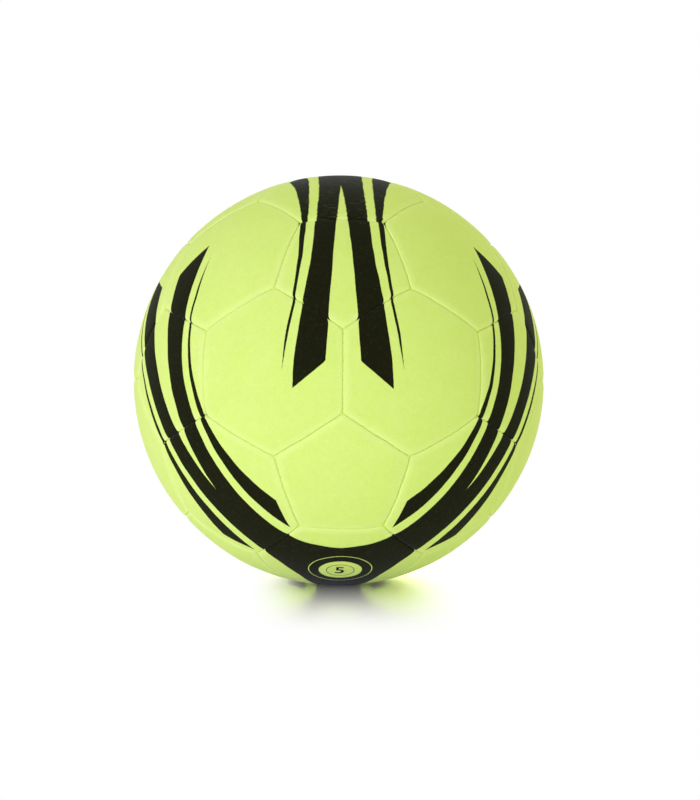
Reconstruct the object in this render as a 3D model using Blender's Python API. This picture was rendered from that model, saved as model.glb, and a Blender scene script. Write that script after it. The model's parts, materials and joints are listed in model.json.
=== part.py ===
"""Indoor felt football, size 5: thirty-two sewn panels over a bladder with a needle valve.

Metres, +Z up, origin at the centre of the ball. The ball sits on its own small flat, and the
upright seam between two hexagons faces -Y, turned up a little.
"""

import math

import bmesh
import bpy
from mathutils import Matrix, Vector

# The whole ball
CIRCUMFERENCE = 0.690
FRONT_TILT = math.radians(12.65)
FLOOR_FLAT_RADIUS = 0.0115

# Panels: felt on a cloth backing, the edges rolled in and sewn hem to hem
PANEL_THICKNESS = 0.0034
CROWN_WIDTH = 0.0045
CROWN_DROP = 0.0016
SEAM_GAP = 0.0004
HEM_REACH = 0.0030
HEM_FLARE = 0.0012
HEM_WIDTH = 0.0024

# Thread, bladder and the clearance that keeps neighbouring pieces apart
THREAD_DIAMETER = 0.0009
BLADDER_WALL = 0.0010
CLEARANCE = 0.0003

# Valve: a push-in core in a housing whose flange lies on a patch round the bladder's hole
NEEDLE_HOLE_RADIUS = 0.0008
NEEDLE_HOLE_DEPTH = 0.0095
CORE_RADIUS = 0.0025
CORE_LENGTH = 0.0130
CORE_NOSE = 0.0010
CORE_HEAD_RADIUS = 0.0034
CORE_HEAD_HEIGHT = 0.0012
HOUSING_WALL = 0.0010
HOUSING_LENGTH = 0.0150
FLANGE_RADIUS = 0.0130
FLANGE_THICKNESS = 0.0010
PATCH_RADIUS = 0.0190
PATCH_THICKNESS = 0.0006
VALVE_SINK = 0.0004

# How finely round shapes are divided
SIDE_STEPS = 3
CROWN_STEPS = 2
FACE_RINGS = 3
BACK_RINGS = 2
THREAD_STEPS = 3
BLADDER_DIVISIONS = 4
TURN_STEPS = 24
FLANGE_STEPS = 3
MERGE_DISTANCE = 0.00001

# Colours, linear
FELT_COLOUR = (0.68, 0.91, 0.14)
THREAD_COLOUR = (0.45, 0.60, 0.10)
BLADDER_COLOUR = (0.02, 0.02, 0.02)
PATCH_COLOUR = (0.10, 0.10, 0.10)
VALVE_COLOUR = (0.015, 0.015, 0.015)

# Sizes that follow
RADIUS = CIRCUMFERENCE / (2 * math.pi)
GOLDEN = (1 + math.sqrt(5)) / 2
VALVE_AXIS = Vector((-1 / GOLDEN, GOLDEN, 0)).normalized()
SEAM_LENGTH = 4 / math.sqrt(58 + 18 * math.sqrt(5))
HEM_DEPTH = PANEL_THICKNESS + HEM_REACH
SEAM_EDGE = SEAM_GAP / 2
HEM_OUTSIDE = SEAM_EDGE + HEM_FLARE
HEM_INSIDE = HEM_OUTSIDE + HEM_WIDTH
SEAM_ANGLE = 2 * math.asin(SEAM_LENGTH / 2)
STEP_COSINE = math.cos(SEAM_ANGLE / SIDE_STEPS / 2)


def apothem_angle(sides):
    """Angle at the ball's centre from a panel's middle to the middle of one of its sides."""
    corner = math.asin(SEAM_LENGTH / 2 / math.sin(math.pi / sides))
    return math.atan(math.tan(corner) * math.cos(math.pi / sides))


# The thread's middle lies where the V between two hems is just wide enough for it
THREAD_SIDE_ROOM = THREAD_DIAMETER / 2 + CLEARANCE - SEAM_EDGE
THREAD_DEPTH = CROWN_DROP + THREAD_SIDE_ROOM / HEM_FLARE * (HEM_DEPTH - CROWN_DROP)

# The bladder lies inside the hems and leaves room for the valve's flange and patch
FACET_DIP = (RADIUS * SEAM_ANGLE / SIDE_STEPS) ** 2 / (6 * RADIUS)
INNER_FACE_RADIUS = RADIUS - PANEL_THICKNESS
VALVE_STACK = PATCH_THICKNESS + FLANGE_THICKNESS + 2 * CLEARANCE + FACET_DIP
BLADDER_RADIUS = min((RADIUS - HEM_DEPTH) * STEP_COSINE, INNER_FACE_RADIUS - VALVE_STACK) - CLEARANCE
PATCH_UNDERSIDE = BLADDER_RADIUS + CLEARANCE
FLANGE_UNDERSIDE = PATCH_UNDERSIDE + PATCH_THICKNESS + CLEARANCE
VALVE_FACE = RADIUS - VALVE_SINK
BORE_RADIUS = CORE_RADIUS + CLEARANCE
SEAT_RADIUS = CORE_HEAD_RADIUS + CLEARANCE
STEM_RADIUS = BORE_RADIUS + HOUSING_WALL
NECK_RADIUS = SEAT_RADIUS + HOUSING_WALL
FLOOR_HEIGHT = -math.sqrt(RADIUS**2 - FLOOR_FLAT_RADIUS**2)


def clear_scene():
    for obj in list(bpy.data.objects):
        bpy.data.objects.remove(obj)


def material(name, colour, roughness):
    made = bpy.data.materials.new(name)
    made.use_nodes = True
    shader = made.node_tree.nodes["Principled BSDF"]
    shader.inputs["Base Color"].default_value = (*colour, 1)
    shader.inputs["Roughness"].default_value = roughness
    shader.inputs["Metallic"].default_value = 0
    return made


def add_object(name, mesh, parent, finish=None):
    obj = bpy.data.objects.new(name, mesh)
    bpy.context.collection.objects.link(obj)
    obj.parent = parent
    if finish and not mesh.materials:
        mesh.materials.append(finish)
    return obj


def add_empty(name, parent=None):
    return add_object(name, None, parent)


def finish_mesh(bm, name, sharp_angle=math.radians(40)):
    """Closes a bmesh into a smooth-shaded mesh with its faces outwards."""
    bmesh.ops.recalc_face_normals(bm, faces=bm.faces)
    mesh = bpy.data.meshes.new(name)
    bm.to_mesh(mesh)
    bm.free()
    mesh.shade_smooth()
    mesh.set_sharp_from_angle(angle=sharp_angle)
    return mesh


def helper(obj):
    """Marks a cutter, which is no piece of the ball."""
    obj.hide_render = True
    obj.display_type = "WIRE"
    return obj


def cut(obj, cutter):
    modifier = obj.modifiers.new("cut", "BOOLEAN")
    modifier.operation = "DIFFERENCE"
    modifier.object = cutter
    return modifier


def axes_of_three(first, second):
    """Unit vectors (0, ±first, ±second) and their two cyclic turns."""
    found = []
    for turn in range(3):
        for a in (-first, first):
            for b in (-second, second):
                values = [0, a, b]
                found.append(Vector(values[-turn:] + values[:-turn]).normalized())
    return found


def panel_axes():
    """The middles of the pentagons and of the hexagons, as unit vectors."""
    corners = [Vector((x, y, z)).normalized() for x in (-1, 1) for y in (-1, 1) for z in (-1, 1)]
    return axes_of_three(GOLDEN, 1), axes_of_three(1 / GOLDEN, GOLDEN) + corners


def placement(axis, others):
    """Turns +Z to a panel's middle and +X to the side that it shares with its nearest neighbour."""
    neighbour = max(others, key=lambda other: round(axis.dot(other), 6))
    side = (neighbour - axis * axis.dot(neighbour)).normalized()
    return Matrix((side, axis.cross(side), axis)).transposed().to_4x4()


def outline(sides, inset, radius):
    """Points round a panel whose sides stand inset from the seam planes, on a sphere of this radius."""
    half = math.pi / sides
    apothem = apothem_angle(sides)
    across = math.sin(apothem)
    along = math.cos(apothem) * math.cos(half)
    tilt = math.acos(inset / radius / math.hypot(across, along)) - math.atan2(along, across)
    points = []
    for side in range(sides):
        middle = 2 * half * side
        centre = Vector((-math.cos(apothem), 0, math.sin(apothem))) * inset
        centre.rotate(Matrix.Rotation(middle, 3, "Z"))
        ends = []
        for turn in (middle - half, middle + half):
            reach = radius * math.sin(tilt)
            corner = Vector((reach * math.cos(turn), reach * math.sin(turn), radius * math.cos(tilt)))
            ends.append(corner - centre)
        start, end = ends
        for step in range(SIDE_STEPS):
            share = step / SIDE_STEPS
            points.append(centre + start.normalized().slerp(end.normalized(), share) * start.length)
    return points


def drawn_in(points, share):
    """The points moved towards the panel's middle, over the sphere, to this share of their distance."""
    return [Vector((0, 0, 1)).slerp(point.normalized(), share) * point.length for point in points]


def add_ring(bm, points):
    vertices = [bm.verts.new(point) for point in points]
    return [bm.edges.new((a, b)) for a, b in zip(vertices, vertices[1:] + vertices[:1])]


def loft(bm, loops):
    """Skins a row of loops of points, and returns the first and last ring of edges."""
    rings = [add_ring(bm, points) for points in loops]
    for upper, lower in zip(rings, rings[1:]):
        bmesh.ops.bridge_loops(bm, edges=upper + lower)
    return rings[0], rings[-1]


def close_ring(bm, ring, height):
    """Fills a ring with a fan whose middle stands at this height."""
    made = bmesh.ops.contextual_create(bm, geom=ring)["faces"]
    bmesh.ops.poke(bm, faces=made)["verts"][0].co = Vector((0, 0, height))


def panel_mesh(name, sides):
    """One sewn panel: crowned face, rolled edge, hem and back, lofted through rings."""
    face = outline(sides, CROWN_WIDTH, RADIUS)
    back = outline(sides, HEM_INSIDE, INNER_FACE_RADIUS)
    loops = [drawn_in(face, ring / FACE_RINGS) for ring in range(1, FACE_RINGS)]
    for step in range(CROWN_STEPS + 1):
        turn = math.pi / 2 * step / CROWN_STEPS
        inset = SEAM_EDGE + (CROWN_WIDTH - SEAM_EDGE) * (1 - math.sin(turn))
        loops.append(outline(sides, inset, RADIUS - CROWN_DROP * (1 - math.cos(turn))))
    loops.append(outline(sides, HEM_OUTSIDE, RADIUS - HEM_DEPTH))
    loops.append(outline(sides, HEM_INSIDE, RADIUS - HEM_DEPTH))
    loops += [drawn_in(back, ring / BACK_RINGS) for ring in range(BACK_RINGS, 0, -1)]
    bm = bmesh.new()
    first, last = loft(bm, loops)
    close_ring(bm, first, RADIUS)
    close_ring(bm, last, INNER_FACE_RADIUS)
    return finish_mesh(bm, name)


def panel_layout():
    """Every panel's name, number of sides, middle and turn, each kind numbered from the top."""
    pentagons, hexagons = panel_axes()
    layout = []
    for kind, sides, axes, others in (
        ("pentagon_panel", 5, pentagons, hexagons),
        ("hexagon_panel", 6, hexagons, pentagons),
    ):
        from_the_top = sorted(axes, key=lambda axis: (-round(axis.z, 4), round(axis.y, 4), axis.x))
        plain = [axis for axis in from_the_top if (axis - VALVE_AXIS).length > MERGE_DISTANCE]
        for number, axis in enumerate(plain, 1):
            layout.append((f"{kind}_{number:02d}", sides, axis, placement(axis, others)))
    layout.append(("valve_panel", 6, VALVE_AXIS, placement(VALVE_AXIS, pentagons)))
    return layout


def build_panels(ball, layout, felt):
    """Places the panels and returns them by name."""
    meshes = {5: panel_mesh("pentagon_panel", 5), 6: panel_mesh("hexagon_panel", 6)}
    panels = {}
    for name, sides, _, turn in layout:
        panels[name] = add_object(name, meshes[sides], ball, felt)
        panels[name].matrix_local = turn
    return panels


def build_thread(ball, layout, finish):
    """The seam thread: one round-sectioned net along every seam, skinned half a seam at a time."""
    half = THREAD_DIAMETER / 2
    bm = bmesh.new()
    for _, sides, _, turn in layout:
        loops = []
        for step in range(THREAD_STEPS + 1):
            angle = math.pi * step / THREAD_STEPS
            radius = RADIUS - THREAD_DEPTH + half * math.cos(angle)
            loops.append([turn @ point for point in outline(sides, half * math.sin(angle), radius)])
        loft(bm, loops)
    bmesh.ops.remove_doubles(bm, verts=bm.verts, dist=MERGE_DISTANCE)
    add_object("seam_thread", finish_mesh(bm, "seam_thread"), ball, finish)


def turned(name, profile, closed):
    """A turned piece about +Z. The profile is (radius, height) points, from axis to axis or closed."""
    bm = bmesh.new()
    vertices = [bm.verts.new((radius, 0, height)) for radius, height in profile]
    pairs = list(zip(vertices, vertices[1:]))
    if closed:
        pairs.append((vertices[-1], vertices[0]))
    edges = [bm.edges.new(pair) for pair in pairs]
    bmesh.ops.spin(
        bm,
        geom=vertices + edges,
        cent=(0, 0, 0),
        axis=(0, 0, 1),
        angle=2 * math.pi,
        steps=TURN_STEPS,
        use_merge=True,
    )
    bmesh.ops.remove_doubles(bm, verts=bm.verts, dist=MERGE_DISTANCE)
    return finish_mesh(bm, name)


def dome(radius, start, end):
    """Profile points over a sphere from one distance off the axis to another."""
    reaches = [start + (end - start) * step / FLANGE_STEPS for step in range(FLANGE_STEPS + 1)]
    return [(reach, math.sqrt(radius**2 - reach**2)) for reach in reaches]


def build_valve(valve_axis, rubber, patch_finish):
    """Housing, core and patch. Heights are distances from the ball's centre along the valve."""
    flange_top = FLANGE_UNDERSIDE + FLANGE_THICKNESS
    seat = VALVE_FACE - CORE_HEAD_HEIGHT - CLEARANCE
    foot = VALVE_FACE - HOUSING_LENGTH
    housing = [(SEAT_RADIUS, VALVE_FACE), (NECK_RADIUS, VALVE_FACE)]
    housing += dome(flange_top, NECK_RADIUS, FLANGE_RADIUS)
    housing += dome(FLANGE_UNDERSIDE, FLANGE_RADIUS, STEM_RADIUS)
    housing += [(STEM_RADIUS, foot), (BORE_RADIUS, foot), (BORE_RADIUS, seat), (SEAT_RADIUS, seat)]
    add_object("valve_housing", turned("valve_housing", housing, True), valve_axis, rubber)

    tip = VALVE_FACE - CORE_LENGTH
    core = [
        (0, VALVE_FACE - NEEDLE_HOLE_DEPTH),
        (NEEDLE_HOLE_RADIUS, VALVE_FACE - NEEDLE_HOLE_DEPTH),
        (NEEDLE_HOLE_RADIUS, VALVE_FACE),
        (CORE_HEAD_RADIUS, VALVE_FACE),
        (CORE_HEAD_RADIUS, VALVE_FACE - CORE_HEAD_HEIGHT),
        (CORE_RADIUS, VALVE_FACE - CORE_HEAD_HEIGHT),
        (CORE_RADIUS, tip + CORE_NOSE),
        (CORE_RADIUS - CORE_NOSE, tip),
        (0, tip),
    ]
    add_object("valve_core", turned("valve_core", core, False), valve_axis, rubber)

    patch_hole = STEM_RADIUS + CLEARANCE
    patch = dome(PATCH_UNDERSIDE + PATCH_THICKNESS, patch_hole, PATCH_RADIUS)
    patch += dome(PATCH_UNDERSIDE, PATCH_RADIUS, patch_hole)
    add_object("valve_patch", turned("valve_patch", patch, True), valve_axis, patch_finish)


def build_bladder(ball, valve_axis, rubber):
    """The bladder: a thin rubber ball, open where the valve's stem goes in."""
    bm = bmesh.new()
    bmesh.ops.create_icosphere(bm, subdivisions=BLADDER_DIVISIONS, radius=BLADDER_RADIUS)
    bladder = add_object("bladder", finish_mesh(bm, "bladder"), ball, rubber)
    wall = bladder.modifiers.new("wall", "SOLIDIFY")
    wall.thickness = BLADDER_WALL
    wall.offset = -1
    cut(bladder, valve_cutter("bladder_hole_cutter", valve_axis, STEM_RADIUS + CLEARANCE))


def valve_cutter(name, valve_axis, radius):
    """A rod along the valve, from inside the bladder to beyond the felt."""
    bm = bmesh.new()
    bmesh.ops.create_cone(
        bm,
        cap_ends=True,
        segments=TURN_STEPS,
        radius1=radius,
        radius2=radius,
        depth=RADIUS,
        matrix=Matrix.Translation((0, 0, RADIUS)),
    )
    return helper(add_object(name, finish_mesh(bm, name), valve_axis))


def floor_cutter():
    """A block whose top is the floor that the ball flattens against."""
    bm = bmesh.new()
    bmesh.ops.create_cube(bm, size=RADIUS, matrix=Matrix.Translation((0, 0, FLOOR_HEIGHT - RADIUS / 2)))
    return helper(add_object("floor_cutter", finish_mesh(bm, "floor_cutter"), None))


def main():
    clear_scene()
    felt = material("yellow_felt", FELT_COLOUR, 0.95)
    waxed_thread = material("waxed_thread", THREAD_COLOUR, 0.6)
    bladder_rubber = material("bladder_rubber", BLADDER_COLOUR, 0.55)
    patch_rubber = material("patch_rubber", PATCH_COLOUR, 0.8)
    valve_rubber = material("valve_rubber", VALVE_COLOUR, 0.5)

    ball = add_empty("ball_centre")
    ball.rotation_euler = (-FRONT_TILT, 0, 0)
    layout = panel_layout()
    panels = build_panels(ball, layout, felt)
    build_thread(ball, layout, waxed_thread)

    valve_axis = add_empty("valve_axis", ball)
    valve_axis.matrix_local = placement(VALVE_AXIS, panel_axes()[0])
    build_valve(valve_axis, valve_rubber, patch_rubber)
    build_bladder(ball, valve_axis, bladder_rubber)
    cut(panels["valve_panel"], valve_cutter("panel_hole_cutter", valve_axis, NECK_RADIUS + CLEARANCE))

    # The lowest panel is pressed flat by the ball's own weight
    downwards = ball.rotation_euler.to_matrix().transposed() @ Vector((0, 0, -1))
    lowest = max(layout, key=lambda item: item[2].dot(downwards))[0]
    cut(panels[lowest], floor_cutter())


main()
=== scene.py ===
"""The looks of an indoor felt football: rolled and sewn felt panels, printed stripes and a rubber valve."""

import json
import math
import random

import bmesh
import bpy
from mathutils import Matrix, Quaternion, Vector, noise

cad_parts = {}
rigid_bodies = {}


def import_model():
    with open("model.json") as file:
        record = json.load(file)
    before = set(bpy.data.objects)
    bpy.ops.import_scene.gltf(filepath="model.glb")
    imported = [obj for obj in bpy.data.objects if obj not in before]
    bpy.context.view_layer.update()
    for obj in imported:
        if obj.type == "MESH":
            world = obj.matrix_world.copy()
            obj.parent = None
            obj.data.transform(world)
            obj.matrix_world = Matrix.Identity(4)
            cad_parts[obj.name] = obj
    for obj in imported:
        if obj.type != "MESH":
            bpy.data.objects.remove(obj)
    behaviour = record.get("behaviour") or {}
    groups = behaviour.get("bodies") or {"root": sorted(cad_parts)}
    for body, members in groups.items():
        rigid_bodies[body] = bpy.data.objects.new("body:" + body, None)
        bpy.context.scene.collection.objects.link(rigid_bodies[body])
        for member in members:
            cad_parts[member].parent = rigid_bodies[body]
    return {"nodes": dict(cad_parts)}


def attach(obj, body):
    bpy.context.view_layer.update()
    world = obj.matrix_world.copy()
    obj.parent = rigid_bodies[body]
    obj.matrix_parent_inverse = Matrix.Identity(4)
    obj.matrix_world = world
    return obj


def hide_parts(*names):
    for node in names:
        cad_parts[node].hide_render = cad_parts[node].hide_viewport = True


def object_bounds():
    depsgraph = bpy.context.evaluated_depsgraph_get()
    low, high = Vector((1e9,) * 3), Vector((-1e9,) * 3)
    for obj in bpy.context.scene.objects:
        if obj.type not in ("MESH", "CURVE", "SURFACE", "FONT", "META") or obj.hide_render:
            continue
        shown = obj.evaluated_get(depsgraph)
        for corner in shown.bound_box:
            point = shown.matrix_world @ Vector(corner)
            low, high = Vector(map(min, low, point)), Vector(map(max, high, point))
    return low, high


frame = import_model()
cad_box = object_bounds()

MM = 0.001
NODES = frame["nodes"]
RADIUS = max(vertex.co.length for vertex in NODES["pentagon_panel_01"].data.vertices)
FLOOR_HEIGHT = cad_box[0].z

# The photograph: the ball's place and radius in its 700 by 800 pixels, and where it is seen from
PHOTO_WIDTH = 700
PHOTO_HEIGHT = 800
BALL_PIXEL = (338.7, 380.4)
BALL_PIXEL_RADIUS = 205.0
CAMERA_AZIMUTH = math.radians(-1.22)
CAMERA_ELEVATION = math.radians(10.0)
CAMERA_ROLL = math.radians(0.45)
CAMERA_DISTANCE = 3.5
SENSOR_WIDTH = 36.0

# Felt panels: the rows of their mesh, which lie closer at the edge and are round near the middle
PANEL_CUTS = 40
EDGE_CROWDING = 1.6
ROUND_MIDDLE = 0.5
ROUND_FADE = 1.4
VALVE_HOLE_ROWS = 9

# Felt panels: the crown that bends down to a seam, the groove in the seam and the hem that is turned in
CROWN_WIDTH = 4.4 * MM
CROWN_DROP = 0.42 * MM
GROOVE_WIDTH = 0.8 * MM
GROOVE_DROP = 0.85 * MM
CORNER_SHARPNESS = 6
HEM_DEPTH = 6.2 * MM
HEM_FLARE = 1.2 * MM
FELT_THICKNESS = 2.2 * MM
VALVE_HOLE_RADIUS = 5.0 * MM

# How sewing and filling pull the cover about, and the distances over which that changes
PUCKER = 0.07 * MM
SWELL = 0.18 * MM
SWELL_SPACING = 26 * MM
PULL = 0.28 * MM
PULL_SPACING = 9 * MM

# The print on a panel: drawn into the seams, out of place by a little, spread by panel shape, and worn
PRINT_ROLL = 2.4 * MM
PRINT_ROLL_POWER = 6
PRINT_SLIP = 0.35 * MM
PRINT_SPREAD = {5: 1.05, 6: 1.0}
PRINT_WEAR = (0.0, 0.06)
TOP_WEAR = 1.0
SEED = 5

# Stitches across the seams, sunk by a share of the groove's depth
STITCH_PITCH = 4.8 * MM
STITCH_LENGTH = 1.0 * MM
STITCH_RADIUS = 0.16 * MM
STITCH_SLANT = math.radians(25)
STITCH_SINK = 1.0
STITCH_SIDES = 8

# Valve: radii, and depths below its face
VALVE_STEPS = 64
VALVE_EDGE = 0.2 * MM
NECK_RADIUS = 4.7 * MM
SEAT_RADIUS = 3.7 * MM
SEAT_DEPTH = 1.5 * MM
BORE_RADIUS = 2.8 * MM
STEM_RADIUS = 3.8 * MM
STEM_DEPTH = 15 * MM
FLANGE_RADIUS = 13 * MM
FLANGE_THICKNESS = 1.0 * MM
FLANGE_STEPS = 4
CORE_HEAD_RADIUS = 3.4 * MM
CORE_HEAD_DEPTH = 1.2 * MM
CORE_RADIUS = 2.5 * MM
CORE_DEPTH = 13 * MM
CORE_NOSE = 1.0 * MM
NEEDLE_HOLE_RADIUS = 0.8 * MM
NEEDLE_HOLE_DEPTH = 9.5 * MM
NEEDLE_DIMPLE_RADIUS = 1.5 * MM
NEEDLE_DIMPLE_DEPTH = 0.5 * MM

# Printed bands: how far their edges run from the band's middle line, at distances along it from the
# middle of the hub, both in millimetres. The third value marks a sharp corner.
BAND_LENGTH = 240.0
BAND_REACH = 60.0
BAND_SHIFT = 12.0
WIDE_OUTER = (
    (0, 30), (20, 18.5), (40, 12.6), (70, 11.6), (110, 13.0), (145, 15.6), (185, 22.7), (205, 25.7),
    (222, 26.7, True), (240, 26.7, True),
)
WIDE_INNER = ((0, -8, True), (84, 0, True), (207.5, 9.3, True), (222, 26.7, True), (240, 40, True))
BLADE_INNER = (
    (0, 40, True), (43, 18.2, True), (65, 17.0), (105, 17.4), (140, 19.6), (170, 24.2), (194, 29.3),
    (212, 32.4, True), (240, 44, True),
)
BLADE_OUTER = (
    (0, 0, True), (43, 18.2, True), (60, 27.5, True), (85, 24.2), (120, 21.6), (145, 22.4), (170, 25.7),
    (194, 30.6), (212, 32.4, True), (240, 20, True),
)
INK_EDGE = 0.06

# The size mark in the middle of the front hub: bare ring and disc and printed fine ring in millimetres,
# and the numeral in metres
SIZE_RING_RADIUS = 16.8
SIZE_RING_WIDTH = 0.45
SIZE_DISC_RADIUS = 11.5
FINE_RING_RADIUS = 7.4
FINE_RING_WIDTH = 0.4
SIZE_NUMERAL = "5"
NUMERAL_SIZE = 11.5 * MM
NUMERAL_WEIGHT = 0.15 * MM
NUMERAL_LIFT = 0.08 * MM

# Felt: the sizes of what the eye finds in it. Single fibres are too fine to show, so clumps are drawn.
FUZZ_SIZE = 0.4 * MM
FIBRE_SIZE = 1.1 * MM
TUFT_SIZE = 4 * MM
CLOUD_SIZE = 22 * MM
STREAK_SIZE = 0.9 * MM
STREAK_STRETCH = (0.12, 1, 1)
NAP_HEIGHT = 0.2 * MM
INK_CREEP = 0.45
INK_TEAR = 1.6
INK_SPECK_SIZE = 1.5 * MM

# Rubber and thread: the sizes of grain, bloom and twist, and how high they stand
GRAIN_SIZE = 0.5 * MM
GRAIN_HEIGHT = 0.05 * MM
BLOOM_SIZE = 5 * MM
TWIST_SIZE = 0.6 * MM
TWIST_HEIGHT = 0.1 * MM


def linear(hex_colour):
    """A six-figure sRGB colour as linear red, green, blue and alpha."""
    parts = [int(hex_colour[i : i + 2], 16) / 255 for i in (1, 3, 5)]
    return (*[p / 12.92 if p <= 0.04045 else ((p + 0.055) / 1.055) ** 2.4 for p in parts], 1)


FELT_DEEP = linear("#D6F370")
FELT_PALE = linear("#E4FA8A")
# Paler over the crowns of the seams: partly stretched felt, partly painted light that fills the shade of
# their slopes
FELT_STRETCHED_AND_LIT = linear("#EAFF9A")
# Deeper green in the grooves of the seams: painted shade
FELT_GROOVE_SHADE = linear("#E6FE74")
INK = linear("#1C1E0C")
INK_FIBRE = linear("#687040")
THREAD_DARK = linear("#6B7328")
THREAD_PALE = linear("#94A03C")
WHITE = linear("#FFFFFF")

# Light: the even fill's radiance and colour, and each softbox's irradiance, colour and side
FILL_STRENGTH = 0.62
FILL_COLOUR = linear("#FFFFE0")
SOFTBOX_ANGLE = math.radians(40)
SOFTBOXES = (
    ("left_softbox", 3.8, linear("#C2BEFF"), (-0.545, -0.84, 0.02)),
    ("back_softbox", 0.6, WHITE, (0.35, 0.85, 0.4)),
)

# Floor: its size and colour, its glow from below with a painted shadow under the ball, and its mirror
# image, painted brighter and yellower, shown only in a patch that paints the ball's contact shadow: the
# middle of that patch along x and y, how far from there it is full and where it has faded
FLOOR_RADIUS = 30.0
FLOOR_COLOUR = linear("#F2F2F2")
GLOW_STRENGTH = 0.16
GLOW_PAINTED_SHADOW_RADIUS = 20 * MM
GLOW_FULL = 120 * MM
MIRROR_PAINTED_LIGHT_TINT = (1.4, 1.4, 0.9, 1)
MIRROR_ROUGHNESS = 0.45
MIRROR_SHADOW_PATCH = ((8.5 * MM, 22 * MM, 57 * MM), (0, 0, 140 * MM))


def add(tree, kind, inputs=None, out=0, **settings):
    """Adds a shader node, sets it up, links or fills its inputs and returns one of its outputs."""
    made = tree.nodes.new("ShaderNode" + kind)
    for name, value in settings.items():
        setattr(made, name, value)
    for key, value in (inputs or {}).items():
        if isinstance(value, bpy.types.NodeSocket):
            tree.links.new(value, made.inputs[key])
        else:
            made.inputs[key].default_value = value
    return made.outputs[out]


def new_material(name):
    """A new material, its node tree and its main shader."""
    made = bpy.data.materials.new(name)
    made.use_nodes = True
    return made, made.node_tree, made.node_tree.nodes["Principled BSDF"]


def add_piece(name, mesh, material, body, slot, *replaced):
    """Adds a finished mesh as a piece that rides on a body."""
    piece = bpy.data.objects.new(name, mesh)
    bpy.context.scene.collection.objects.link(piece)
    mesh.materials.clear()
    mesh.materials.append(material)
    mesh.shade_smooth()
    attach(piece, body)
    if replaced:
        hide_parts(*replaced)
    return piece


def finished_mesh(bm, name):
    """Turns a bmesh into a mesh and frees it."""
    mesh = bpy.data.meshes.new(name)
    bm.to_mesh(mesh)
    bm.free()
    return mesh


# Places of the panels, read from the frame


def node_middle(name):
    """The direction from the ball's centre to the middle of a panel's node."""
    corners = [vertex.co.normalized() for vertex in NODES[name].data.vertices]
    return sum(corners, Vector()).normalized()


def nearest(axis, others):
    """The direction that lies closest to an axis. Rounding makes the first of equal ones the choice."""
    return max(others, key=lambda other: round(axis.dot(other), 5))


def placement(axis, others):
    """Turns +Z to a panel's middle and +X to the side shared with its nearest neighbour."""
    neighbour = nearest(axis, others)
    side = (neighbour - axis * axis.dot(neighbour)).normalized()
    return Matrix((side, axis.cross(side), axis)).transposed().to_4x4()


PENTAGON_NAMES = [name for name in sorted(NODES) if name.startswith("pentagon")]
HEXAGON_NAMES = [name for name in sorted(NODES) if name.startswith("hexagon")] + ["valve_panel"]
PENTAGONS = {name: node_middle(name) for name in PENTAGON_NAMES}
HEXAGONS = {name: node_middle(name) for name in HEXAGON_NAMES}
PANEL_KINDS = ((5, PENTAGONS, HEXAGONS), (6, HEXAGONS, PENTAGONS))

# A seam's chord as a share of the radius, and the panels that the print and its wear start from
SEAM_CHORD = 4 / math.sqrt(58 + 18 * math.sqrt(5))
HUB = nearest(Vector((0, -0.55, -0.83)), HEXAGONS.values())
HUB_SIDE = Vector((1, 0, 0))
HUB_FRONT = HUB.cross(HUB_SIDE)
TOP = nearest(Vector((0, 0, 1)), HEXAGONS.values())


# Felt panels and stitches


def seam_apothem(sides):
    """The angle at the ball's centre from the middle of a panel to the middle of its sides."""
    corner = math.asin(SEAM_CHORD / 2 / math.sin(math.pi / sides))
    return math.atan(math.tan(corner) * math.cos(math.pi / sides))


def seam_planes(sides):
    """The planes of a panel's seams, as normals that point into the panel, and the ways along them."""
    apothem = seam_apothem(sides)
    planes = []
    for side in range(sides):
        turn = 2 * math.pi * side / sides
        outward = Vector((math.cos(turn), math.sin(turn), 0))
        along = Vector((-math.sin(turn), math.cos(turn), 0))
        planes.append((Vector((0, 0, math.sin(apothem))) - outward * math.cos(apothem), along))
    return planes


def polygon_reach(point, sides):
    """How far a point of a flat polygon lies from its middle, measured square to the nearest side."""
    turns = [2 * math.pi * side / sides for side in range(sides)]
    return max(point.x * math.cos(turn) + point.y * math.sin(turn) for turn in turns)


def crowd_to_edge(point, sides, apothem, first_row, hole):
    """Moves a point of the flat polygon so that the rows of the mesh lie closer at its edge and are round
    near the middle. The first row that is kept lies at the edge of the hole."""
    share = polygon_reach(point, sides) / apothem
    if share < 1e-6:
        return Vector((0, 0))
    outer_share = min(1.0, (share - first_row) / (1 - first_row))
    crowded = hole + (1 - hole) * (1 - (1 - outer_share) ** EDGE_CROWDING)
    flat = Vector((point.x, point.y)) * crowded / share
    rounding = max(0.0, min(1.0, ROUND_FADE * (1 - crowded / ROUND_MIDDLE)))
    return flat.lerp(flat.normalized() * crowded * apothem, rounding)


def roll_shares(direction, seams):
    """How far a point has rolled over into each seam, from 0 on the flat to 1 at the seam."""
    shares = []
    for normal, along in seams:
        inset = RADIUS * math.asin(direction.dot(normal))
        shares.append((max(0.0, min(1.0, 1 - inset / CROWN_WIDTH)), normal, along))
    return shares


def turn_hem(bm, seams):
    """Turns the edges of a panel inwards, deep at the seams and by the felt's thickness round a hole."""
    rim = [edge for edge in bm.edges if edge.is_boundary]
    hem = bmesh.ops.extrude_edge_only(bm, edges=rim)["geom"]
    for vertex in (item for item in hem if isinstance(item, bmesh.types.BMVert)):
        direction = vertex.co.normalized()
        inwards = Vector()
        for share, normal, _ in roll_shares(direction, seams):
            if share > 0.99:
                inwards += normal
        depth = HEM_DEPTH if inwards.length else FELT_THICKNESS
        vertex.co = direction * (RADIUS - depth) + inwards * HEM_FLARE


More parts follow.
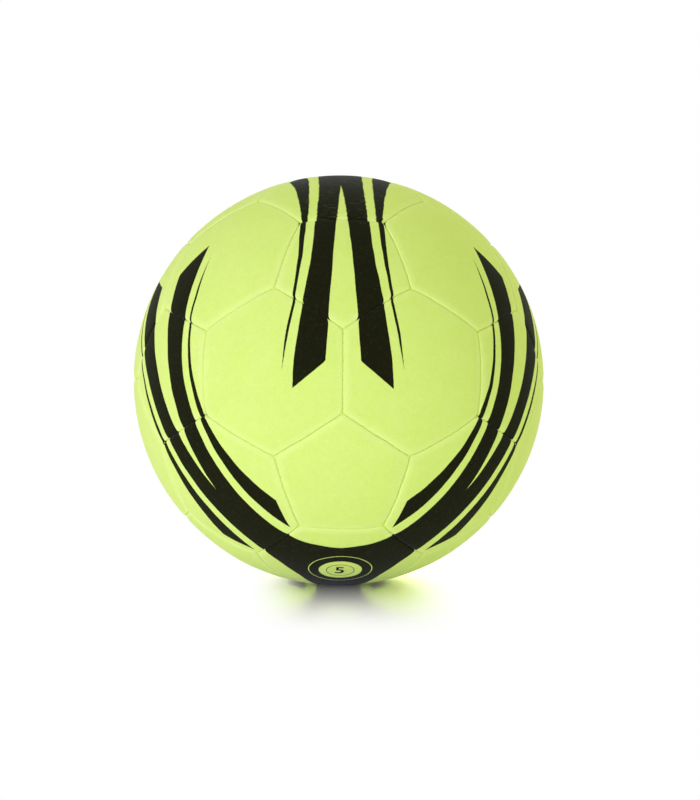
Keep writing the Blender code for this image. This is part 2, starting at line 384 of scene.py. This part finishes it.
def panel_template(sides, hole_radius):
    """A felt panel about +Z that remembers where each bit of it lies on the printed design."""
    seams = seam_planes(sides)
    apothem = math.tan(seam_apothem(sides))
    bm = bmesh.new()
    bmesh.ops.create_circle(
        bm,
        cap_ends=True,
        cap_tris=True,
        segments=sides,
        radius=apothem / math.cos(math.pi / sides),
        matrix=Matrix.Rotation(math.pi / sides - math.pi / 2, 4, "Z"),
    )
    bmesh.ops.subdivide_edges(bm, edges=bm.edges, cuts=PANEL_CUTS, use_grid_fill=True)
    first_row = VALVE_HOLE_ROWS / (PANEL_CUTS + 1) if hole_radius else 0.0
    hole = hole_radius / RADIUS / apothem
    hole_reach = first_row * apothem
    inside = [face for face in bm.faces if polygon_reach(face.calc_center_median(), sides) < hole_reach]
    bmesh.ops.delete(bm, geom=inside, context="FACES")
    places = bm.verts.layers.float_vector.new("print_place")
    rolls = bm.verts.layers.float.new("seam_roll")
    for vertex in bm.verts:
        flat = crowd_to_edge(vertex.co, sides, apothem, first_row, hole)
        direction = Vector((flat.x, flat.y, 1)).normalized()
        shares = roll_shares(direction, seams)
        summed = sum(share**CORNER_SHARPNESS for share, _, _ in shares)
        roll = min(1.0, summed ** (1 / CORNER_SHARPNESS))
        groove = max(0.0, 1 - (1 - roll) * CROWN_WIDTH / GROOVE_WIDTH)
        drop = CROWN_DROP * roll**2 + GROOVE_DROP * groove**2
        place = Vector((direction.x, direction.y, direction.z * PRINT_SPREAD[sides]))
        for share, normal, along in shares:
            stitch = math.cos(2 * math.pi * RADIUS * math.asin(direction.dot(along)) / STITCH_PITCH)
            drop += PUCKER * stitch * share**3
            place -= normal * PRINT_ROLL * share**PRINT_ROLL_POWER / RADIUS
        vertex[places] = place.normalized()
        vertex[rolls] = roll
        vertex.co = direction * (RADIUS - drop)
    turn_hem(bm, seams)
    return finished_mesh(bm, "panel_template")


def sewn(point):
    """Where sewing and filling have pulled a point of the cover. Both sides of a seam go the same way."""
    outward = point.normalized()
    pull = noise.noise_vector(point / PULL_SPACING) * PULL
    swell = noise.noise(point / SWELL_SPACING) * SWELL
    return point + pull - outward * pull.dot(outward) + outward * swell


def felt_panel(name, template, axis, others, felt, slips):
    """One felt panel in its place, a little uneven, with its own slip and wear of the print."""
    turn = placement(axis, others)
    mesh = template.copy()
    mesh.name = "felt_" + name
    mesh.transform(turn)
    slip_axis = Vector([slips.gauss(0, 1) for _ in range(3)])
    slip = Matrix.Rotation(slips.gauss(0, PRINT_SLIP / RADIUS), 3, slip_axis)
    for place in mesh.attributes["print_place"].data:
        place.vector = slip @ (turn.to_3x3() @ Vector(place.vector))
    panel_wear = slips.uniform(*PRINT_WEAR)
    if axis == TOP:
        panel_wear = TOP_WEAR
    wear = mesh.attributes.new("print_wear", "FLOAT", "POINT")
    wear.data.foreach_set("value", [panel_wear] * len(mesh.vertices))
    for vertex in mesh.vertices:
        vertex.co = sewn(vertex.co)
        vertex.co.z = max(vertex.co.z, FLOOR_HEIGHT)
    piece = add_piece("felt_" + name, mesh, felt, "ball", "felt", name)
    wall = piece.modifiers.new("thickness", "SOLIDIFY")
    wall.thickness = FELT_THICKNESS
    wall.offset = -1


def build_panels(felt):
    """All 32 felt panels. The hexagon with the valve has a round hole."""
    slips = random.Random(SEED)
    for sides, panels, others in PANEL_KINDS:
        templates = {}
        for name, axis in panels.items():
            hole_radius = VALVE_HOLE_RADIUS if name == "valve_panel" else 0.0
            if hole_radius not in templates:
                templates[hole_radius] = panel_template(sides, hole_radius)
            felt_panel(name, templates[hole_radius], axis, others.values(), felt, slips)
        bpy.data.batch_remove(templates.values())


def build_stitches(thread):
    """Short stitches across the bottom of every seam."""
    bm = bmesh.new()
    sewn_seams = set()
    half_seam = math.asin(SEAM_CHORD / 2)
    count = round(2 * half_seam * RADIUS / STITCH_PITCH)
    for sides, panels, others in PANEL_KINDS:
        for axis in panels.values():
            turn = placement(axis, others.values()).to_3x3()
            for normal, along in seam_planes(sides):
                middle = turn @ along.cross(normal)
                key = tuple(round(part, 3) for part in middle)
                if key in sewn_seams:
                    continue
                sewn_seams.add(key)
                for number in range(count):
                    angle = half_seam * (2 * (number + 0.5) / count - 1)
                    upward = middle * math.cos(angle) + turn @ along * math.sin(angle)
                    across = turn @ normal
                    across.rotate(Quaternion(upward, STITCH_SLANT))
                    lie = across.to_track_quat("Z", "Y").to_matrix().to_4x4()
                    seat = upward * (RADIUS - CROWN_DROP - GROOVE_DROP * STITCH_SINK)
                    bmesh.ops.create_cone(
                        bm,
                        cap_ends=True,
                        segments=STITCH_SIDES,
                        radius1=STITCH_RADIUS,
                        radius2=STITCH_RADIUS,
                        depth=STITCH_LENGTH,
                        matrix=Matrix.Translation(sewn(seat)) @ lie,
                    )
    add_piece("stitches", finished_mesh(bm, "stitches"), thread, "ball", "thread")


def build_numeral(ink):
    """The ball's size as a plain numeral, printed upright in the middle of the front hub."""
    text = bpy.data.curves.new("size_numeral_text", "FONT")
    text.body = SIZE_NUMERAL
    text.align_x = "CENTER"
    text.align_y = "CENTER"
    text.size = NUMERAL_SIZE
    text.offset = NUMERAL_WEIGHT
    carrier = bpy.data.objects.new("size_numeral_text", text)
    bpy.context.scene.collection.objects.link(carrier)
    bpy.context.view_layer.update()
    outline = bpy.data.meshes.new_from_object(carrier.evaluated_get(bpy.context.evaluated_depsgraph_get()))
    bm = bmesh.new()
    bm.from_mesh(outline)
    bpy.data.batch_remove((carrier, text, outline))
    bmesh.ops.triangulate(bm, faces=bm.faces)
    bmesh.ops.subdivide_edges(bm, edges=bm.edges, cuts=2)
    for vertex in bm.verts:
        flat = HUB * RADIUS + HUB_SIDE * vertex.co.x + HUB_FRONT * vertex.co.y
        vertex.co = sewn(flat.normalized() * RADIUS) + HUB * NUMERAL_LIFT
    add_piece("size_numeral", finished_mesh(bm, "size_numeral"), ink, "ball", "felt")


# Valve


def turned(name, node, profile, axis, rubber, body):
    """A rubber piece turned about the valve's axis, with its edges rounded."""
    bm = bmesh.new()
    corners = [bm.verts.new((radius, 0, height)) for radius, height in profile]
    edges = [bm.edges.new(pair) for pair in zip(corners, corners[1:])]
    bmesh.ops.spin(
        bm,
        geom=corners + edges,
        axis=(0, 0, 1),
        cent=(0, 0, 0),
        angle=2 * math.pi,
        steps=VALVE_STEPS,
        use_merge=True,
    )
    bmesh.ops.remove_doubles(bm, verts=bm.verts, dist=0.001 * MM)
    bmesh.ops.recalc_face_normals(bm, faces=bm.faces)
    bmesh.ops.transform(bm, matrix=axis, verts=bm.verts)
    piece = add_piece(name, finished_mesh(bm, name), rubber, body, "valve_rubber", node)
    edge = piece.modifiers.new("rounded_edges", "BEVEL")
    edge.width = VALVE_EDGE
    edge.segments = 3
    edge.limit_method = "ANGLE"
    edge.angle_limit = math.radians(40)


def build_valve(rubber):
    """The valve's housing, and its core with the needle hole. Heights are measured from the ball's centre."""
    along = HEXAGONS["valve_panel"]
    axis = placement(along, PENTAGONS.values())
    corners = [vertex.co for vertex in NODES["valve_housing"].data.vertices]
    face = max(corner.dot(along) for corner in corners)
    flange_top = max(corner.length for corner in corners if corner.cross(along).length > NECK_RADIUS * 1.2)
    underside = flange_top - FLANGE_THICKNESS
    flange_width = FLANGE_RADIUS - NECK_RADIUS
    flange = [NECK_RADIUS + flange_width * step / FLANGE_STEPS for step in range(FLANGE_STEPS + 1)]
    housing = [
        (SEAT_RADIUS, face),
        (NECK_RADIUS, face),
        *[(radius, math.sqrt(flange_top**2 - radius**2)) for radius in flange],
        *[(radius, math.sqrt(underside**2 - radius**2)) for radius in reversed(flange)],
        (STEM_RADIUS, math.sqrt(underside**2 - STEM_RADIUS**2)),
        (STEM_RADIUS, face - STEM_DEPTH),
        (BORE_RADIUS, face - STEM_DEPTH),
        (BORE_RADIUS, face - SEAT_DEPTH),
        (SEAT_RADIUS, face - SEAT_DEPTH),
        (SEAT_RADIUS, face),
    ]
    core = [
        (0, face - NEEDLE_HOLE_DEPTH),
        (NEEDLE_HOLE_RADIUS, face - NEEDLE_HOLE_DEPTH),
        (NEEDLE_HOLE_RADIUS, face - NEEDLE_DIMPLE_DEPTH),
        (NEEDLE_DIMPLE_RADIUS, face),
        (CORE_HEAD_RADIUS, face),
        (CORE_HEAD_RADIUS, face - CORE_HEAD_DEPTH),
        (CORE_RADIUS, face - CORE_HEAD_DEPTH),
        (CORE_RADIUS, face - CORE_DEPTH + CORE_NOSE),
        (CORE_RADIUS - CORE_NOSE, face - CORE_DEPTH),
        (0, face - CORE_DEPTH),
    ]
    turned("moulded_valve_housing", "valve_housing", housing, axis, rubber, "ball")
    turned("moulded_valve_core", "valve_core", core, axis, rubber, "valve_core")


# Materials


def printed_edge(tree, along, points):
    """How far off the band's middle an edge of the print runs, in millimetres, as a curve along the band."""
    share = add(tree, "Math", {0: along, 1: 1 / BAND_LENGTH}, operation="MULTIPLY", use_clamp=True)
    run = add(tree, "FloatCurve", {"Value": share})
    curve = run.node.mapping.curves[0]
    for _ in points[2:]:
        curve.points.new(1, 1)
    for point, (distance, reach, *sharp) in zip(curve.points, points):
        point.location = (distance / BAND_LENGTH, (reach + BAND_SHIFT) / BAND_REACH)
        point.handle_type = "VECTOR" if sharp else "AUTO"
    run.node.mapping.update()
    return add(tree, "Math", {0: run, 1: BAND_REACH, 2: -BAND_SHIFT}, operation="MULTIPLY_ADD")


def between(tree, value, low, high):
    """How far inside two edges a value lies, in millimetres."""
    above = add(tree, "Math", {0: value, 1: low}, operation="SUBTRACT")
    below = add(tree, "Math", {0: high, 1: value}, operation="SUBTRACT")
    return add(tree, "Math", {0: above, 1: below}, operation="MINIMUM")


def band_depth(tree, front, side, up):
    """How deep inside the three bands round a hub a point lies, in millimetres, below 0 outside."""
    turn = add(tree, "Math", {0: side, 1: front}, operation="ARCTAN2")
    third = 2 * math.pi / 3
    folded = add(tree, "Math", {0: turn, 1: third, 2: 0.0}, operation="WRAP")
    off = add(tree, "Math", {0: folded, 1: third / 2}, operation="SUBTRACT")
    side_squared = add(tree, "Math", {0: side, 1: side}, operation="MULTIPLY")
    reach_squared = add(tree, "Math", {0: front, 1: front, 2: side_squared}, operation="MULTIPLY_ADD")
    reach = add(tree, "Math", {0: reach_squared}, operation="SQRT")
    cosine = add(tree, "Math", {0: off}, operation="COSINE")
    sine = add(tree, "Math", {0: off}, operation="SINE")
    ahead = add(tree, "Math", {0: reach, 1: cosine}, operation="MULTIPLY")
    aside = add(tree, "Math", {0: reach, 1: sine}, operation="MULTIPLY")
    aside = add(tree, "Math", {0: aside}, operation="ABSOLUTE")
    along = add(tree, "Math", {0: ahead, 1: up}, operation="ARCTAN2")
    along = add(tree, "Math", {0: along, 1: RADIUS / MM}, operation="MULTIPLY")
    across = add(tree, "Math", {0: aside}, operation="ARCSINE")
    across = add(tree, "Math", {0: across, 1: RADIUS / MM}, operation="MULTIPLY")
    depths = []
    for inner, outer in ((WIDE_INNER, WIDE_OUTER), (BLADE_INNER, BLADE_OUTER)):
        low = printed_edge(tree, along, inner)
        high = printed_edge(tree, along, outer)
        depths.append(between(tree, across, low, high))
    return add(tree, "Math", dict(enumerate(depths)), operation="MAXIMUM")


def ring_depth(tree, from_hub, radius, width):
    """How deep inside a ring round the hub a point lies, in millimetres, below 0 outside."""
    off = add(tree, "Math", {0: from_hub, 1: radius}, operation="SUBTRACT")
    off = add(tree, "Math", {0: off}, operation="ABSOLUTE")
    return add(tree, "Math", {0: width / 2, 1: off}, operation="SUBTRACT")


def print_mask(tree, creep):
    """1 where the felt is printed and 0 where it is bare. Creep is how far the ink runs, in millimetres."""
    place = add(tree, "Attribute", out=1, attribute_name="print_place")
    place = add(tree, "VectorMath", {0: place}, operation="NORMALIZE")
    front = add(tree, "VectorMath", {0: place, 1: HUB_FRONT}, out=1, operation="DOT_PRODUCT")
    side = add(tree, "VectorMath", {0: place, 1: HUB_SIDE}, out=1, operation="DOT_PRODUCT")
    up = add(tree, "VectorMath", {0: place, 1: HUB}, out=1, operation="DOT_PRODUCT")
    back = add(tree, "Math", {0: front, 1: -1.0}, operation="MULTIPLY")
    down = add(tree, "Math", {0: up, 1: -1.0}, operation="MULTIPLY")
    low_bands = band_depth(tree, front, side, up)
    top_bands = band_depth(tree, back, side, down)
    depth = add(tree, "Math", {0: low_bands, 1: top_bands}, operation="MAXIMUM")

    from_hub = add(tree, "Math", {0: up}, operation="ARCCOSINE")
    from_hub = add(tree, "Math", {0: from_hub, 1: RADIUS / MM}, operation="MULTIPLY")
    bare_ring = ring_depth(tree, from_hub, SIZE_RING_RADIUS, SIZE_RING_WIDTH)
    bare_disc = add(tree, "Math", {0: SIZE_DISC_RADIUS, 1: from_hub}, operation="SUBTRACT")
    bare_mark = add(tree, "Math", {0: bare_ring, 1: bare_disc}, operation="MAXIMUM")
    off_mark = add(tree, "Math", {0: bare_mark, 1: -1.0}, operation="MULTIPLY")
    depth = add(tree, "Math", {0: depth, 1: off_mark}, operation="MINIMUM")
    fine_ring = ring_depth(tree, from_hub, FINE_RING_RADIUS, FINE_RING_WIDTH)
    depth = add(tree, "Math", {0: depth, 1: fine_ring}, operation="MAXIMUM")
    depth = add(tree, "Math", {0: depth, 1: creep}, operation="ADD")
    return add(tree, "MapRange", {"Value": depth, "From Min": -INK_EDGE, "From Max": INK_EDGE})


def textile_ink(tree, spot):
    """Black textile ink, with pale ends of fibres standing through it here and there."""
    ends = {"Vector": spot, "Scale": 1 / INK_SPECK_SIZE, "Detail": 3.0, "Roughness": 0.6}
    ends = add(tree, "TexNoise", ends)
    through = add(tree, "MapRange", {"Value": ends, "From Min": 0.55, "From Max": 0.8, "To Max": 0.12})
    return add(tree, "Mix", {"Factor": through, "A": INK, "B": INK_FIBRE}, out=2, data_type="RGBA")


def brushed_felt():
    """Needle-felted polyester, dyed fluorescent yellow-green and printed black: a dry nap with no gloss,
    in which light scatters from fibre to fibre. Over the crowns of the seams it is painted paler, partly
    for stretched felt and partly as painted light that fills the shade of their slopes, and the grooves
    get a deeper green as painted shade. The ink creeps along the fibres and wears off in streaks."""
    made, tree, shader = new_material("brushed_felt")
    spot = add(tree, "TexCoord", out=3)
    lying = add(tree, "VectorMath", {0: spot, 1: STREAK_STRETCH}, operation="MULTIPLY")
    fibres = {"Vector": spot, "Scale": 1 / FIBRE_SIZE, "Detail": 4.0, "Roughness": 0.65}
    fibres = add(tree, "TexNoise", fibres)
    fuzz = add(tree, "TexNoise", {"Vector": spot, "Scale": 1 / FUZZ_SIZE, "Detail": 3.0, "Distortion": 1.2})
    tufts = add(tree, "TexNoise", {"Vector": spot, "Scale": 1 / TUFT_SIZE, "Detail": 3.0, "Roughness": 0.6})
    clouds = add(tree, "TexNoise", {"Vector": spot, "Scale": 1 / CLOUD_SIZE, "Detail": 2.0})
    streaks = add(tree, "TexNoise", {"Vector": lying, "Scale": 1 / STREAK_SIZE, "Detail": 2.0})
    wear = add(tree, "Attribute", out=2, attribute_name="print_wear")
    roll = add(tree, "Attribute", out=2, attribute_name="seam_roll")

    # Where the ink lies
    creep = add(tree, "Math", {0: fibres, 1: INK_CREEP, 2: -INK_CREEP / 2}, operation="MULTIPLY_ADD")
    tear = add(tree, "Math", {0: streaks, 1: 0.52}, operation="SUBTRACT")
    tear = add(tree, "Math", {0: tear, 1: wear}, operation="MULTIPLY")
    creep = add(tree, "Math", {0: tear, 1: INK_TEAR, 2: creep}, operation="MULTIPLY_ADD")
    printed = print_mask(tree, creep)

    # Bare felt, from cloud to fuzz, then painted light over the crown of a seam and painted shade in its
    # groove
    shade = add(tree, "Math", {0: tufts, 1: 0.7, 2: -1.5}, operation="MULTIPLY_ADD")
    shade = add(tree, "Math", {0: fuzz, 1: 2.0, 2: shade}, operation="MULTIPLY_ADD")
    shade = add(tree, "Math", {0: clouds, 1: 0.6, 2: shade}, operation="MULTIPLY_ADD")
    shade = add(tree, "Math", {0: fibres, 1: 0.7, 2: shade}, operation="MULTIPLY_ADD", use_clamp=True)
    bare = add(tree, "Mix", {"Factor": shade, "A": FELT_DEEP, "B": FELT_PALE}, out=2, data_type="RGBA")
    # Paler towards a seam: partly stretched felt, partly painted light over the crown's shade
    crown = add(tree, "MapRange", {"Value": roll, "To Max": 0.6})
    bare = add(tree, "Mix", {"Factor": crown, "A": bare, "B": FELT_STRETCHED_AND_LIT}, out=2, data_type="RGBA")
    # Deeper green in the groove: painted shade
    groove = add(tree, "MapRange", {"Value": roll, "From Min": 0.9, "From Max": 1.0})
    bare = add(tree, "Mix", {"Factor": groove, "A": bare, "B": FELT_GROOVE_SHADE}, out=2, data_type="RGBA")

    # Ink, scratched where it is torn
    ink = textile_ink(tree, spot)
    scratched = add(tree, "MapRange", {"Value": tear, "From Min": 0.08, "From Max": 0.25, "To Max": 0.4})
    ink = add(tree, "Mix", {"Factor": scratched, "A": ink, "B": INK_FIBRE}, out=2, data_type="RGBA")
    colour = add(tree, "Mix", {"Factor": printed, "A": bare, "B": ink}, out=2, data_type="RGBA")

    nap = add(tree, "Math", {0: tufts, 1: 0.6, 2: fibres}, operation="MULTIPLY_ADD")
    nap = add(tree, "Math", {0: fuzz, 1: 0.7, 2: nap}, operation="MULTIPLY_ADD")
    relief = add(tree, "Bump", {"Strength": 0.6, "Distance": NAP_HEIGHT, "Height": nap})
    tree.links.new(colour, shader.inputs["Base Color"])
    tree.links.new(relief, shader.inputs["Normal"])
    shader.inputs["Roughness"].default_value = 0.95
    shader.inputs["Specular IOR Level"].default_value = 0.04
    shader.inputs["Subsurface Weight"].default_value = 0.4
    shader.inputs["Subsurface Radius"].default_value = (1.0, 1.2, 0.3)
    shader.inputs["Subsurface Scale"].default_value = 1.0 * MM
    shader.inputs["Sheen Weight"].default_value = 0.08
    shader.inputs["Sheen Tint"].default_value = WHITE
    shader.inputs["Sheen Roughness"].default_value = 0.35
    return made


def printed_ink():
    """The same black textile ink on the numeral, dry and flat."""
    made, tree, shader = new_material("printed_ink")
    spot = add(tree, "TexCoord", out=3)
    tree.links.new(textile_ink(tree, spot), shader.inputs["Base Color"])
    shader.inputs["Roughness"].default_value = 0.95
    shader.inputs["Specular IOR Level"].default_value = 0.08
    return made


def moulded_rubber(name, dark, worn, roughness):
    """Rubber from a mould: black or dark grey, satin to matt, with a faint grain and a dusty bloom."""
    made, tree, shader = new_material(name)
    spot = add(tree, "TexCoord", out=3)
    grain = add(tree, "TexNoise", {"Vector": spot, "Scale": 1 / GRAIN_SIZE, "Detail": 3.0})
    bloom = add(tree, "TexNoise", {"Vector": spot, "Scale": 1 / BLOOM_SIZE, "Detail": 4.0})
    dusty = add(tree, "MapRange", {"Value": bloom, "From Min": 0.4, "From Max": 0.75})
    colour = add(tree, "Mix", {"Factor": dusty, "A": dark, "B": worn}, out=2, data_type="RGBA")
    relief = add(tree, "Bump", {"Strength": 0.3, "Distance": GRAIN_HEIGHT, "Height": grain})
    rough = add(tree, "MapRange", {"Value": bloom, "To Min": roughness - 0.1, "To Max": roughness + 0.15})
    tree.links.new(colour, shader.inputs["Base Color"])
    tree.links.new(relief, shader.inputs["Normal"])
    tree.links.new(rough, shader.inputs["Roughness"])
    return made


def waxed_thread():
    """Twisted polyester thread drawn through wax: dull green, with a fine twist."""
    made, tree, shader = new_material("waxed_thread")
    spot = add(tree, "TexCoord", out=3)
    twist = add(tree, "TexNoise", {"Vector": spot, "Scale": 1 / TWIST_SIZE, "Detail": 3.0})
    colour = add(tree, "Mix", {"Factor": twist, "A": THREAD_DARK, "B": THREAD_PALE}, out=2, data_type="RGBA")
    relief = add(tree, "Bump", {"Strength": 0.4, "Distance": TWIST_HEIGHT, "Height": twist})
    tree.links.new(colour, shader.inputs["Base Color"])
    tree.links.new(relief, shader.inputs["Normal"])
    shader.inputs["Roughness"].default_value = 0.6
    return made


def dress_node(name, material):
    """Gives a CAD node that stays a better material."""
    mesh = NODES[name].data
    mesh.materials.clear()
    mesh.materials.append(material)


# Stage


def white_sheet():
    """A white sheet lit from below: white to the camera, with a blurred mirror image of the ball, painted
    brighter and yellower, only in a patch round the ball that paints its contact shadow. The glow that the
    sheet gives off is painted out under the ball as a painted shadow.
    """
    made, tree, shader = new_material("white_sheet_with_painted_shadow")
    spot = add(tree, "TexCoord", out=3)
    flat = add(tree, "VectorMath", {0: spot, 1: (1, 1, 0)}, operation="MULTIPLY")
    away = add(tree, "VectorMath", {0: flat}, out=1, operation="LENGTH")
    # Painted shadow: the glow is nothing under the ball and rises to full further out
    reach = {"Value": away, "From Min": GLOW_PAINTED_SHADOW_RADIUS, "From Max": GLOW_FULL, "To Max": GLOW_STRENGTH}
    glow = add(tree, "MapRange", reach)
    shader.inputs["Base Color"].default_value = FLOOR_COLOUR
    shader.inputs["Emission Color"].default_value = WHITE
    tree.links.new(glow, shader.inputs["Emission Strength"])

    # The mirror image shows only in a patch round the ball, set off along x: a painted contact shadow
    mirrored = 1.0
    for axis, (middle, full, faded) in enumerate(MIRROR_SHADOW_PATCH):
        along = add(tree, "SeparateXYZ", {0: spot}, out=axis)
        away = add(tree, "Math", {0: along, 1: middle}, operation="SUBTRACT")
        away = add(tree, "Math", {0: away}, operation="ABSOLUTE")
        reach = {"Value": away, "From Min": full, "From Max": faded, "To Min": 1.0, "To Max": 0.0}
        share = add(tree, "MapRange", reach, interpolation_type="SMOOTHSTEP")
        mirrored = add(tree, "Math", {0: share, 1: mirrored}, operation="MULTIPLY")
    white = add(tree, "Emission", {"Color": WHITE, "Strength": 1.0})
    # A mirror colour above 1 and short of blue: painted light in the reflection
    mirror = add(tree, "BsdfAnisotropic", {"Color": MIRROR_PAINTED_LIGHT_TINT, "Roughness": MIRROR_ROUGHNESS})
    seen = add(tree, "MixShader", {0: mirrored, 1: white, 2: mirror})
    camera_ray = add(tree, "LightPath")
    both = add(tree, "MixShader", {0: camera_ray, 1: shader.outputs[0], 2: seen})
    tree.links.new(both, tree.nodes["Material Output"].inputs["Surface"])
    return made


def studio_floor():
    """The floor that the ball stands on, far wider than the picture."""
    bm = bmesh.new()
    bmesh.ops.create_circle(bm, cap_ends=True, segments=64, radius=FLOOR_RADIUS)
    bmesh.ops.translate(bm, verts=bm.verts, vec=(0, 0, FLOOR_HEIGHT))
    mesh = finished_mesh(bm, "floor")
    mesh.materials.append(white_sheet())
    floor = bpy.data.objects.new("floor", mesh)
    bpy.context.scene.collection.objects.link(floor)


def studio_light():
    """Even light all round, a broad softbox left of the camera and a faint one behind the ball. The
    surroundings are white to the camera and in mirror images."""
    world = bpy.data.worlds.new("studio")
    world.use_nodes = True
    tree = world.node_tree
    seen = add(tree, "LightPath")
    mirrored = add(tree, "LightPath", out=3)
    either = add(tree, "Math", {0: seen, 1: mirrored}, operation="MAXIMUM")
    strength = add(tree, "MapRange", {"Value": either, "To Min": FILL_STRENGTH, "To Max": 1.0})
    colour = add(tree, "Mix", {"Factor": either, "A": FILL_COLOUR, "B": WHITE}, out=2, data_type="RGBA")
    background = tree.nodes["Background"]
    tree.links.new(colour, background.inputs["Color"])
    tree.links.new(strength, background.inputs["Strength"])
    bpy.context.scene.world = world

    for name, irradiance, colour, side in SOFTBOXES:
        lamp = bpy.data.lights.new(name, "SUN")
        lamp.energy = irradiance
        lamp.angle = SOFTBOX_ANGLE
        lamp.color = colour[:3]
        softbox = bpy.data.objects.new(name, lamp)
        softbox.rotation_euler = Vector(side).to_track_quat("Z", "Y").to_euler()
        bpy.context.scene.collection.objects.link(softbox)


def photo_camera():
    """The camera at the photograph's angle and distance, framed so that the ball fills the same pixels."""
    data = bpy.data.cameras.new("photo_camera")
    focal_pixels = BALL_PIXEL_RADIUS * math.sqrt((CAMERA_DISTANCE / RADIUS) ** 2 - 1)
    data.sensor_width = SENSOR_WIDTH
    data.lens = focal_pixels * SENSOR_WIDTH / PHOTO_HEIGHT
    data.shift_x = (PHOTO_WIDTH / 2 - BALL_PIXEL[0]) / PHOTO_HEIGHT
    data.shift_y = (BALL_PIXEL[1] - PHOTO_HEIGHT / 2) / PHOTO_HEIGHT
    level = math.cos(CAMERA_ELEVATION)
    sideways = math.sin(CAMERA_AZIMUTH) * level
    towards = -math.cos(CAMERA_AZIMUTH) * level
    back = Vector((sideways, towards, math.sin(CAMERA_ELEVATION)))
    roll = Quaternion((0, 0, 1), CAMERA_ROLL)
    camera = bpy.data.objects.new("photo_camera", data)
    camera.location = back * CAMERA_DISTANCE
    camera.rotation_euler = (back.to_track_quat("Z", "Y") @ roll).to_euler()
    bpy.context.scene.collection.objects.link(camera)
    bpy.context.scene.camera = camera


bpy.context.scene.view_settings.view_transform = "Standard"
noise.seed_set(SEED)
photo_camera()
studio_light()
studio_floor()

thread = waxed_thread()
build_panels(brushed_felt())
build_numeral(printed_ink())
build_stitches(thread)
build_valve(moulded_rubber("moulded_rubber", linear("#141414"), linear("#2A2A28"), 0.5))
dress_node("seam_thread", thread)
dress_node("bladder", moulded_rubber("latex_bladder", linear("#161616"), linear("#2C2A28"), 0.45))
dress_node("valve_patch", moulded_rubber("rubber_patch", linear("#2E2E2D"), linear("#444340"), 0.75))
